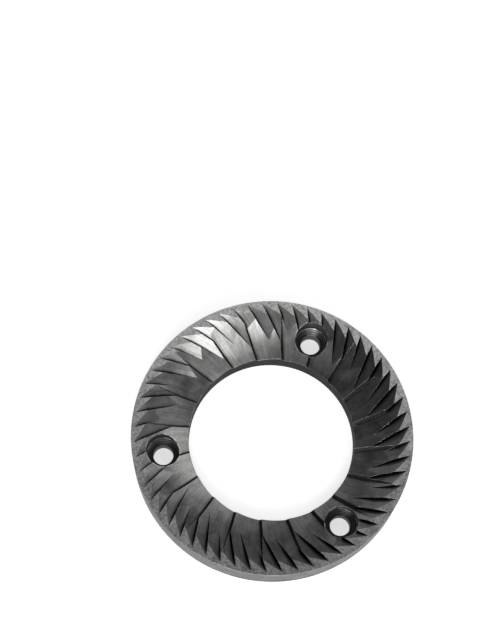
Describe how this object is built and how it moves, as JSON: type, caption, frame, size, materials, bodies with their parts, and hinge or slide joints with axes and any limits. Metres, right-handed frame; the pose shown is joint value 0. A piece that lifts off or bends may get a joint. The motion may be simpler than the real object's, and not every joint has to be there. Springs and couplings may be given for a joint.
{
  "type": "coffee grinder burr",
  "caption": "Flat ring burr with a plain centre bore, countersunk screw holes, coarse breaker blades that deepen towards the bore and fine saw-tooth grinding grooves that run out at the rim.",
  "frame": {"origin": "centre of the flat back face", "axes": "+Z along the bore axis, out of the toothed face; +X through the middle of one screw hole"},
  "size_m": [0.064, 0.064, 0.009],
  "materials": {
    "burr_steel": "hardened tool steel, milled and ground, satin dark grey"
  },
  "bodies": {
    "root": {"burr": "burr_steel"}
  },
  "joints": []
}
